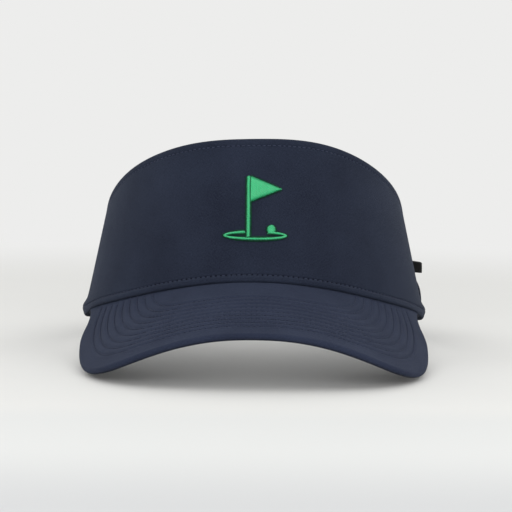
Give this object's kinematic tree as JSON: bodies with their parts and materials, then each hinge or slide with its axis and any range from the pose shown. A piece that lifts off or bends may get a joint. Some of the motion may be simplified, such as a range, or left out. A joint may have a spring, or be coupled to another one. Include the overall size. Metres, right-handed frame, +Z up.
{
  "type": "sun visor",
  "caption": "Open-topped sun visor with an arched sewn brim, stiff navy front crown, padded sweatband and a hook-and-loop rear strap.",
  "frame": {"origin": "on the table plane the visor rests on, straight below the centre of the head ring", "axes": "+Z up from the table, -Y the way the wearer faces and the brim points, +X the wearer's left"},
  "size_m": [0.1813, 0.2435, 0.1158],
  "materials": {
    "shell_fabric": "smooth fine plain-weave performance fabric, navy, matt with a faint sheen",
    "hem_fabric": "the same fabric, turned and pressed",
    "brim_fabric": "the same fabric over a board, sewn in rows",
    "brim_board": "moulded polyethylene sheet",
    "buckram": "stiff open-weave buckram",
    "lining_fabric": "thin brushed tricot lining",
    "foam": "soft open-cell foam",
    "sweatband_knit": "moisture-wicking knit",
    "cotton_tape": "narrow herringbone tape",
    "label_satin": "blank satin label",
    "loop_tape": "napped loop tape",
    "hook_tape": "hook tape",
    "strap_fabric": "doubled shell fabric",
    "thread": "polyester thread",
    "webbing": "ribbed narrow webbing, black",
    "embroidery": "raised satin stitch, bright green"
  },
  "bodies": {
    "visor": {"brim_board": "brim_board", "brim_bottom_cover": "brim_fabric", "brim_edge_fold": "brim_fabric", "brim_top_cover": "brim_fabric", "care_label": "label_satin", "closure_loop_tape": "loop_tape", "closure_strap_root": "strap_fabric", "closure_tack_inner": "thread", "closure_tack_outer": "thread", "crown_base_roll": "hem_fabric", "crown_front_panel": "shell_fabric", "crown_lining": "lining_fabric", "crown_stiffener": "buckram", "crown_top_hem": "hem_fabric", "emblem": "embroidery", "left_seam_tape": "cotton_tape", "left_wing_hem": "hem_fabric", "left_wing_lining": "lining_fabric", "left_wing_outer": "shell_fabric", "right_seam_tape": "cotton_tape", "right_wing_hem": "hem_fabric", "right_wing_lining": "lining_fabric", "right_wing_outer": "shell_fabric", "size_label": "label_satin", "sweatband_face": "sweatband_knit", "sweatband_foam": "foam", "sweatband_tape": "cotton_tape"},
    "strap": {"closure_strap": "strap_fabric", "closure_hook_tape": "hook_tape"},
    "strap_tail": {"closure_strap_tail": "strap_fabric", "closure_pull_tab": "webbing"}
  },
  "joints": [
    {"name": "strap_open", "type": "hinge", "parent": "visor", "child": "strap", "pos_m": [-0.04283, 0.0824, 0.01941], "axis": [0.0721, 0.0555, 0.9959], "range_deg": [0, 80]},
    {"name": "tail_peel", "type": "hinge", "parent": "strap", "child": "strap_tail", "pos_m": [0.05926, 0.07026, 0.02177], "axis": [-0.1092, 0.0648, 0.9919], "range_deg": [-6, 70]}
  ]
}
